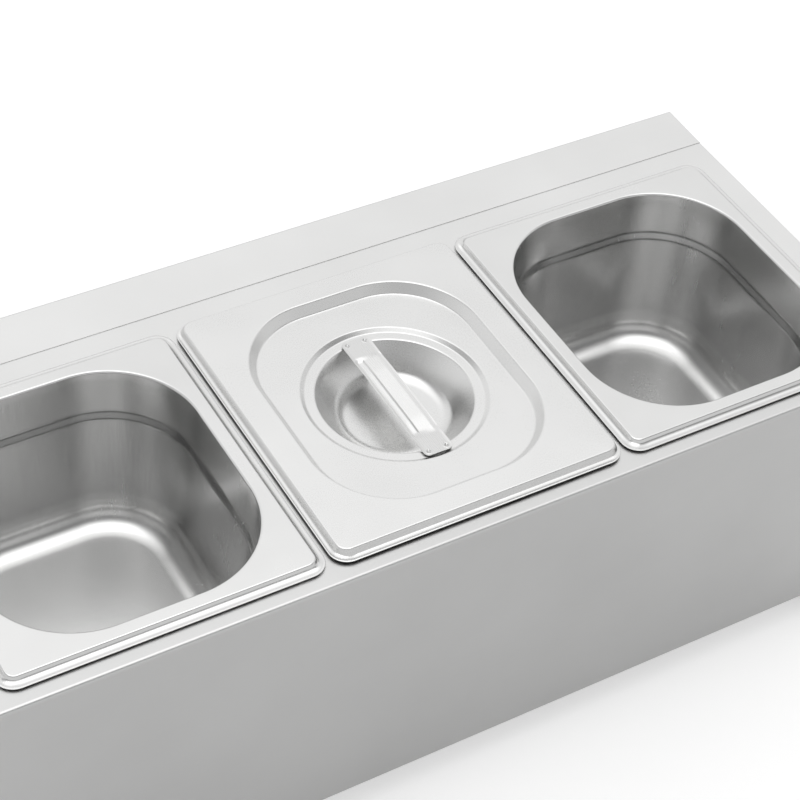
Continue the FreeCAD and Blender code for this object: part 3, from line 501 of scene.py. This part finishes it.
def grip_height(x, y, sizes, half):
    """Height pressed into the strap over the dish, for points measured from the strap's middle.

    With s the smooth step, w the strap's half width and l the grip's half length, across the strap:
    toe s((x + a) / toe run) + flank s((x + b) / flank run) + crown t - fall s((x - c) / (w - c))
    - level s((x + w) / sink run). There t goes from 0 at the flank's end to 1 at the crown's end c, and
    level is the crown's mean height. Along it: times s((l - |y|) / end run), shorter at the back, plus
    arch s((l - |y|) / arch run).
    """
    toe_lead = 0.8
    flank_end = sizes.flank_run - sizes.flank_start
    toe = sizes.toe * smooth((x + sizes.flank_start + toe_lead * sizes.toe_run) / sizes.toe_run)
    flank = sizes.flank * smooth((x + sizes.flank_start) / sizes.flank_run)
    crown = sizes.crown * np.clip((x - flank_end) / (sizes.crown_end - flank_end), 0.0, 1.0)
    fall = sizes.fall * smooth((x - sizes.crown_end) / (half.x - sizes.crown_end))
    level = sizes.toe + sizes.flank + sizes.crown / 2
    sink = level * smooth((x + half.x) / sizes.sink_run)
    inside = half.y - sizes.bead_margin - np.abs(y)
    arch = sizes.arch * smooth(inside / sizes.arch_run)
    end_run = np.where(y > 0, sizes.bead_back, sizes.bead_end)
    return (toe + flank + crown - fall - sink) * smooth(inside / end_run) + arch


def edge_height(x, sizes, half):
    """Rise towards the strap's long edges: lift times the square of the share of the way out."""
    share = np.maximum(np.abs(x) - half.x + sizes.lift_run, 0.0) / sizes.lift_run
    return sizes.lift * share ** 2


def weld_height(x, y, sizes, half):
    """Four round dents near the strap's corners.

    With r the distance from a weld's middle over its radius: less depth times 1 - r within the dent,
    plus rim times (1 - ((r - 1.2) / 0.4)^2)^2 on the ring round it.
    """
    away_x = np.abs(x) - sizes.weld_side
    away_y = np.abs(y) - half.y + sizes.weld_end
    share = np.hypot(away_x, away_y) / sizes.weld_radius
    ring_middle, ring_half = 1.2, 0.4
    dent = np.maximum(1 - share, 0.0)
    ring = np.maximum(1 - ((share - ring_middle) / ring_half) ** 2, 0.0) ** 2
    return sizes.weld_rim * ring - sizes.weld_depth * dent


def strap_rows(sizes):
    """Rows of the strap's skin: inset from the edge, drop below the upper face, and the normal out and up."""
    cut, eased = 0.2 * MM, 1.6 * MM
    core, crease, rim = 7.9, 5.5, 0.2
    core_rows, face_rows, bend_rows = 12, 54, 5
    turn = np.linspace(0.0, math.pi / 2, bend_rows)
    inner = np.linspace(core, crease, core_rows, endpoint=False)
    outer = np.linspace(crease, rim, face_rows)
    face = np.concatenate([inner, outer]) * MM
    level = np.zeros_like(face)
    bend_in, bend_down = cut * (1 - np.sin(turn)), cut * (1 - np.cos(turn))
    upper = np.stack([face, level, level, level + 1], axis=1)
    shoulder = np.stack([bend_in, bend_down, np.sin(turn), np.cos(turn)], axis=1)[1:]
    low = np.stack([bend_in, sizes.edge - bend_down, np.sin(turn), -np.cos(turn)], axis=1)[::-1]
    below = face[face > eased][::-1]
    level = np.zeros_like(below)
    under = np.stack([below, level + sizes.sheet, level, level - 1], axis=1)
    return np.concatenate([upper, shoulder, low, under])


def strap_surface(sizes, half):
    """Points and normals of the strap's skin; slopes are central differences of the height's formula."""
    rows, small = strap_rows(sizes), 0.01 * MM
    outline = np.array([half.x, half.y, sizes.corner]) - rows[:, :1]
    outline[:, 2] = np.maximum(outline[:, 2], small)
    x, y, normal_x, normal_y = sided_loops(outline, STRAP_END, STRAP_SIDE, STRAP_CORNER)
    drop, out, up = (rows[:, column, None] for column in (1, 2, 3))

    def height(x, y):
        formed = sizes.sheet + grip_height(x, y, sizes, half) + edge_height(x, sizes, half)
        return formed + np.where(up >= 0, weld_height(x, y, sizes, half), 0.0)

    slope_x = (height(x + small, y) - height(x - small, y)) / (2 * small)
    slope_y = (height(x, y + small) - height(x, y - small)) / (2 * small)
    points = np.stack([x, y, height(x, y) - drop], axis=-1)
    normals = np.stack([out * normal_x - up * slope_x, out * normal_y - up * slope_y, up + 0 * x], axis=-1)
    normals /= np.linalg.norm(normals, axis=-1, keepdims=True)
    return points, normals


# Finishes
def new_material(name):
    """An empty node material with its shader."""
    material = bpy.data.materials.new(name)
    material.use_nodes = True
    return material, material.node_tree.nodes, material.node_tree.links


def add_node(nodes, kind, **inputs):
    """A node with some of its sockets set, by name."""
    node = nodes.new(kind)
    for socket, value in inputs.items():
        node.inputs[socket.replace("_", " ")].default_value = value
    return node


def maths(nodes, links, operation, first, second):
    """A sum, product or other operation on two values; each is a socket or a number."""
    node = nodes.new("ShaderNodeMath")
    node.operation = operation
    for socket, value in zip(node.inputs, (first, second)):
        if isinstance(value, float):
            socket.default_value = value
        else:
            links.new(value, socket)
    return node.outputs["Value"]


def stretched_noise(nodes, links, stretch, scale, detail=3.0):
    """Noise on Object coordinates, drawn out along one or two axes by a Mapping node."""
    place = nodes.new("ShaderNodeTexCoord")
    mapping = add_node(nodes, "ShaderNodeMapping", Scale=stretch)
    noise = add_node(nodes, "ShaderNodeTexNoise", Scale=scale, Detail=detail)
    links.new(place.outputs["Object"], mapping.inputs["Vector"])
    links.new(mapping.outputs["Vector"], noise.inputs["Vector"])
    return noise.outputs["Fac"]


def remap(nodes, links, value, low, high):
    """Spread a noise value between two numbers."""
    start, full = NOISE_RANGE
    node = add_node(nodes, "ShaderNodeMapRange", From_Min=start, From_Max=full, To_Min=low, To_Max=high)
    links.new(value, node.inputs["Value"])
    return node.outputs["Result"]


def tint(nodes, links, value, base, depth):
    """Colour that varies by a share of itself as a noise value goes from low to high."""
    ramp = nodes.new("ShaderNodeValToRGB")
    for stop, position, share in zip(ramp.color_ramp.elements, TINT_RANGE, (1 - depth, 1 + depth)):
        stop.position = position
        stop.color = [*[min(part * share, 1.0) for part in base], 1.0]
    links.new(value, ramp.inputs["Fac"])
    return ramp.outputs["Color"]


def steel(name, base, roughness, grain):
    """Satin steel: fine drawn-out grain in gloss and relief, and soft clouds in colour and gloss."""
    tint_depth, gloss_play, grain_detail = 0.025, 0.02, 4.0
    material, nodes, links = new_material(name)
    shader = nodes["Principled BSDF"]
    shader.inputs["Metallic"].default_value = 1.0
    fine = stretched_noise(nodes, links, grain.stretch, grain.scale, grain_detail)
    cloud = stretched_noise(nodes, links, EVEN, grain.clouds)
    links.new(tint(nodes, links, cloud, base, tint_depth), shader.inputs["Base Color"])
    grain_gloss = remap(nodes, links, fine, roughness - gloss_play, roughness + gloss_play)
    cloud_gloss = remap(nodes, links, cloud, -gloss_play, gloss_play)
    links.new(maths(nodes, links, "ADD", grain_gloss, cloud_gloss), shader.inputs["Roughness"])
    relief = add_node(nodes, "ShaderNodeBump", Strength=1.0, Distance=grain.depth)
    links.new(fine, relief.inputs["Height"])
    links.new(relief.outputs["Normal"], shader.inputs["Normal"])
    return material


def shade_along(material, axis, middle, reach, factors):
    """Paint shade into a steel's colour: scale it by a factor that changes with the distance from a place
    along an axis.
    """
    nodes, links = material.node_tree.nodes, material.node_tree.links
    colour_socket = nodes["Principled BSDF"].inputs["Base Color"]
    plain = colour_socket.links[0].from_socket
    place = nodes.new("ShaderNodeTexCoord")
    split = nodes.new("ShaderNodeSeparateXYZ")
    links.new(place.outputs["Object"], split.inputs["Vector"])
    offset = maths(nodes, links, "SUBTRACT", split.outputs[axis], middle)
    away = maths(nodes, links, "ABSOLUTE", offset, 0.0)
    start, full = reach
    low, high = factors
    spread = add_node(nodes, "ShaderNodeMapRange", From_Min=start, From_Max=full, To_Min=low, To_Max=high)
    links.new(away, spread.inputs["Value"])
    scale = nodes.new("ShaderNodeVectorMath")
    scale.operation = "SCALE"
    links.new(plain, scale.inputs[0])
    links.new(spread.outputs["Result"], scale.inputs["Scale"])
    links.new(scale.outputs["Vector"], colour_socket)


def rubber(name, base):
    """Moulded rubber: dark, matt, with a fine pitted skin and dusty patches."""
    material, nodes, links = new_material(name)
    shader = nodes["Principled BSDF"]
    shader.inputs["Specular IOR Level"].default_value = 0.35
    pit_scale, pit_depth, dust_scale, dust_tint, matt, mattest = 2600.0, 0.06 * MM, 120.0, 0.3, 0.62, 0.82
    pits = stretched_noise(nodes, links, EVEN, pit_scale)
    dust = stretched_noise(nodes, links, EVEN, dust_scale)
    links.new(tint(nodes, links, dust, base, dust_tint), shader.inputs["Base Color"])
    links.new(remap(nodes, links, dust, matt, mattest), shader.inputs["Roughness"])
    relief = add_node(nodes, "ShaderNodeBump", Strength=0.6, Distance=pit_depth)
    links.new(pits, relief.inputs["Height"])
    links.new(relief.outputs["Normal"], shader.inputs["Normal"])
    return material


def dress(nodes, material):
    """Put a material on CAD nodes."""
    for node in nodes:
        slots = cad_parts[node].data.materials
        slots.clear()
        slots.append(material)


class PANHOLDER_OT_sheets(bpy.types.Operator):
    """Finish the deck, the panels and the rails in satin steel, brushed along the row, with painted shade
    towards the front
    """

    bl_idname = "panholder.sheets"
    bl_label = "Finish Holder Sheets"

    def execute(self, context):
        look = context.scene.panholder_finishes
        material = steel("holder_steel_satin", look.holder_colour, look.holder_roughness, ALONG_ROW)
        # Painted shade: the holder's colour is darker at its front, fading out further back
        shade_along(material, "Y", CAD_LOW.y, FRONT_SHADE_SPAN, (look.front_painted_shade, 1.0))
        dress(SHEETS, material)
        return {"FINISHED"}


class PANHOLDER_OT_pans(bpy.types.Operator):
    """Draw the three pans and finish them in satin steel, with painted shade on their walls and round the
    stacking shoulder
    """

    bl_idname = "panholder.pans"
    bl_label = "Draw Pans"

    def execute(self, context):
        sizes, look = context.scene.panholder_pan, context.scene.panholder_finishes
        material = steel("pan_steel_drawn", look.pan_colour, look.pan_roughness, DOWN_WALL)
        low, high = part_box(PANS[0])
        # Painted shade: a darker band round the pans' stacking shoulder
        shoulder = high.z - sizes.shoulder_depth - sizes.shoulder_drop / 2
        shade_along(material, "Z", shoulder, SHOULDER_SHADE_SPAN, (look.shoulder_painted_shade, 1.0))
        # Painted shade: the pans' walls are darker between the mouth and the floor's rounding
        walls = (high.z + low.z + sizes.floor_round) / 2
        wall_shade_span = [high.z - walls - margin for margin in WALL_SHADE_MARGINS]
        shade_along(material, "Z", walls, wall_shade_span, (look.wall_painted_shade, 1.0))
        for node in PANS:
            centre, half = box_centre(node)
            top = centre.z + half.z
            base = (centre.x, centre.y, top - sizes.sheet - sizes.band_height)
            angles = loop_angles(half.x, half.y, sizes.corner)
            shy = sizes.under_lid if node == COVERED_PAN else sizes.brim_play
            piece = drawn_sheet(f"{node}_drawn", pan_rows(sizes, half, shy), angles, base, material)
            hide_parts(node)
            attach(piece, node)
        return {"FINISHED"}


class PANHOLDER_OT_lid(bpy.types.Operator):
    """Draw the lid with its recess, ring and finger dish"""

    bl_idname = "panholder.lid"
    bl_label = "Draw Lid"

    def execute(self, context):
        sizes, look = context.scene.panholder_lid, context.scene.panholder_finishes
        material = steel("lid_steel_satin", look.lid_colour, look.lid_roughness, FINE_MATT)
        centre, half = box_centre("lid")
        top = centre.z + half.z
        base = (centre.x, centre.y, top - sizes.sheet - sizes.skirt_rise)
        angles = loop_angles(half.x, half.y, sizes.corner)
        piece = drawn_sheet("lid_drawn", lid_rows(sizes, half), angles, base, material)
        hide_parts("lid")
        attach(piece, "lid")
        return {"FINISHED"}


class PANHOLDER_OT_handle(bpy.types.Operator):
    """Form the strap handle with its grip and weld dimples, with painted shade on its flat ends"""

    bl_idname = "panholder.handle"
    bl_label = "Form Strap Handle"

    def execute(self, context):
        sizes, look = context.scene.panholder_strap, context.scene.panholder_finishes
        material = steel("handle_steel_satin", look.handle_colour, look.handle_roughness, ALONG_STRAP)
        centre, half = box_centre("lid_handle")
        grip_end = half.y - sizes.bead_margin
        # Painted shade: the strap's colour darkens from the grip's ends out to its flat ends
        shade_along(material, "Y", centre.y, (grip_end - sizes.bead_end, grip_end), (1.0, look.strap_end_painted_shade))
        points, normals = strap_surface(sizes, half)
        count, columns = points.shape[:2]
        crown = fold_faces(0, columns, STRAP_SIDE)
        hollow = [face[::-1] for face in fold_faces((count - 1) * columns, columns, STRAP_SIDE)]
        points = points.reshape(-1, 3) + np.array((centre.x, centre.y, centre.z - half.z))
        normals = normals.reshape(-1, 3)
        faces = grid_faces(count, columns) + crown + hollow
        piece = make_piece("lid_handle_strap", points, normals, faces, material)
        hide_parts("lid_handle")
        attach(piece, "lid")
        return {"FINISHED"}


class PANHOLDER_OT_feet(bpy.types.Operator):
    """Finish the feet in rubber, and the rivets, screws, washers and nuts in plain steel"""

    bl_idname = "panholder.feet"
    bl_label = "Finish Feet"

    def execute(self, context):
        look = context.scene.panholder_finishes
        dress(FEET, rubber("foot_rubber_moulded", look.rubber_colour))
        material = steel("fastener_steel_plain", look.fastener_colour, look.fastener_roughness, PLAIN)
        dress(FOOT_FASTENERS + REAR_RIVETS, material)
        return {"FINISHED"}


class PANHOLDER_OT_stage(bpy.types.Operator):
    """Set the floor, the studio light and the camera"""

    bl_idname = "panholder.stage"
    bl_label = "Set Studio"

    def execute(self, context):
        studio = context.scene.panholder_studio
        make_floor(studio)
        make_sky(context.scene, studio)
        make_key_light(context.scene, studio)
        make_camera(context.scene, studio)
        context.scene.view_settings.view_transform = "Standard"
        return {"FINISHED"}


def make_floor(studio):
    """Large pale floor; the camera and reflections see it lifted towards white, shadows kept."""
    mesh = bpy.data.meshes.new("floor")
    ways = ((-1, -1), (1, -1), (1, 1), (-1, 1))
    corners = [(x * FLOOR_REACH, y * FLOOR_REACH, 0.0) for x, y in ways]
    mesh.from_pydata(corners, [], [(0, 1, 2, 3)])
    floor = bpy.data.objects.new("floor", mesh)
    bpy.context.scene.collection.objects.link(floor)
    material, nodes, links = new_material("floor_pale")
    shader = nodes["Principled BSDF"]
    shader.inputs["Base Color"].default_value = (*studio.floor_colour, 1.0)
    shader.inputs["Roughness"].default_value = 0.9
    shader.inputs["Specular IOR Level"].default_value = 0.0
    shader.inputs["Emission Color"].default_value = (1.0, 1.0, 1.0, 1.0)
    links.new(seen_glow(nodes, links, studio), shader.inputs["Emission Strength"])
    mesh.materials.append(material)


def seen_rays(nodes, links):
    """Outputs of a Light Path node, and the value that is 1 for camera and transmission rays."""
    path = nodes.new("ShaderNodeLightPath").outputs
    return path, maths(nodes, links, "MAXIMUM", path["Is Camera Ray"], path["Is Transmission Ray"])


def seen_glow(nodes, links, studio):
    """Glow of the floor: most for camera and transmission rays, some for glossy rays, none for the rest."""
    path, seen = seen_rays(nodes, links)
    glow = maths(nodes, links, "MULTIPLY", seen, studio.floor_glow)
    gleam = maths(nodes, links, "MULTIPLY", path["Is Glossy Ray"], studio.floor_gleam)
    return maths(nodes, links, "MAXIMUM", glow, gleam)


def toward(nodes, links, direction, span, low, high):
    """Value that goes smoothly from low to high as the sky's direction nears the given one."""
    place = nodes.new("ShaderNodeTexCoord")
    lean = nodes.new("ShaderNodeVectorMath")
    lean.operation = "DOT_PRODUCT"
    lean.inputs[1].default_value = Vector(direction).normalized()
    links.new(place.outputs["Generated"], lean.inputs[0])
    start, full = span
    spread = add_node(nodes, "ShaderNodeMapRange", From_Min=start, From_Max=full, To_Min=low, To_Max=high)
    spread.interpolation_type = "SMOOTHSTEP"
    links.new(lean.outputs["Value"], spread.inputs["Value"])
    return spread.outputs["Result"]


def make_sky(scene, studio):
    """White to the camera; to the object a pale studio, brighter behind and above, a dark band in front."""
    world = bpy.data.worlds.new("studio")
    scene.world = world
    world.use_nodes = True
    nodes, links = world.node_tree.nodes, world.node_tree.links
    background = nodes["Background"]
    depth = studio.sky_around - studio.sky_dark
    pale = toward(nodes, links, BEHIND, PALE_SPAN, studio.sky_around, studio.sky_back)
    rise = toward(nodes, links, UP, BAND_RISE, 0.0, depth)
    close = toward(nodes, links, UP, BAND_CLOSE, 0.0, depth)
    front = toward(nodes, links, BACK_RIGHT, FRONT_FADE, 1.0, 0.0)
    band = maths(nodes, links, "MULTIPLY", maths(nodes, links, "SUBTRACT", rise, close), front)
    over = toward(nodes, links, UP, OVER_SPAN, 0.0, studio.sky_over)
    sky = maths(nodes, links, "ADD", maths(nodes, links, "SUBTRACT", pale, band), over)
    _, seen = seen_rays(nodes, links)
    links.new(maths(nodes, links, "MAXIMUM", sky, seen), background.inputs["Strength"])
    background.inputs["Color"].default_value = (1.0, 1.0, 1.0, 1.0)


def make_key_light(scene, studio):
    """Wide soft light above the holder."""
    lamp = bpy.data.lights.new("key_softbox", "AREA")
    lamp.shape = "RECTANGLE"
    lamp.size, lamp.size_y = KEY_SIZE
    lamp.energy = studio.key_power
    light = bpy.data.objects.new("key_softbox", lamp)
    light.location = KEY_PLACE
    aim = Vector(KEY_AIM) - light.location
    light.rotation_euler = aim.to_track_quat("-Z", "Y").to_euler()
    scene.collection.objects.link(light)


def make_camera(scene, studio):
    """Camera at the picture's own angle, lens and tilt."""
    data = bpy.data.cameras.new("camera")
    data.lens = studio.lens
    data.sensor_width = SENSOR
    data.clip_start, data.clip_end = CLIP
    camera = bpy.data.objects.new("camera", data)
    turn, height = math.radians(studio.azimuth), math.radians(studio.elevation)
    back = Vector((math.sin(turn) * math.cos(height), -math.cos(turn) * math.cos(height), math.sin(height)))
    camera.location = Vector(studio.target) + back * studio.distance
    tilt = Quaternion((0.0, 0.0, 1.0), math.radians(studio.roll))
    camera.rotation_mode = "QUATERNION"
    camera.rotation_quaternion = (-back).to_track_quat("-Z", "Y") @ tilt
    scene.collection.objects.link(camera)
    scene.camera = camera


class PANHOLDER_PT_panel(bpy.types.Panel):
    """Steps that dress the holder"""

    bl_idname = "PANHOLDER_PT_panel"
    bl_label = "Pan Holder"
    bl_space_type = "VIEW_3D"
    bl_region_type = "UI"
    bl_category = "Pan Holder"

    def draw(self, context):
        for operator in OPERATORS:
            self.layout.operator(operator.bl_idname)
        for group in GROUPS:
            box = self.layout.box()
            settings = getattr(context.scene, group)
            for name in settings.__annotations__:
                box.prop(settings, name)


GROUPS = {
    "panholder_pan": PanSizes,
    "panholder_lid": LidSizes,
    "panholder_strap": StrapSizes,
    "panholder_finishes": Finishes,
    "panholder_studio": Studio,
}
OPERATORS = (
    PANHOLDER_OT_sheets,
    PANHOLDER_OT_pans,
    PANHOLDER_OT_lid,
    PANHOLDER_OT_handle,
    PANHOLDER_OT_feet,
    PANHOLDER_OT_stage,
)
CLASSES = (*GROUPS.values(), *OPERATORS, PANHOLDER_PT_panel)


def register():
    """Add the classes and the scene's settings."""
    for item in CLASSES:
        bpy.utils.register_class(item)
    for name, group in GROUPS.items():
        setattr(bpy.types.Scene, name, PointerProperty(type=group))


def unregister():
    """Take the settings and the classes away again."""
    for name in GROUPS:
        delattr(bpy.types.Scene, name)
    for item in reversed(CLASSES):
        bpy.utils.unregister_class(item)


def main():
    """Dress the whole holder."""
    register()
    bpy.ops.panholder.sheets()
    bpy.ops.panholder.pans()
    bpy.ops.panholder.lid()
    bpy.ops.panholder.handle()
    bpy.ops.panholder.feet()
    bpy.ops.panholder.stage()


if __name__ == "__main__":
    main()
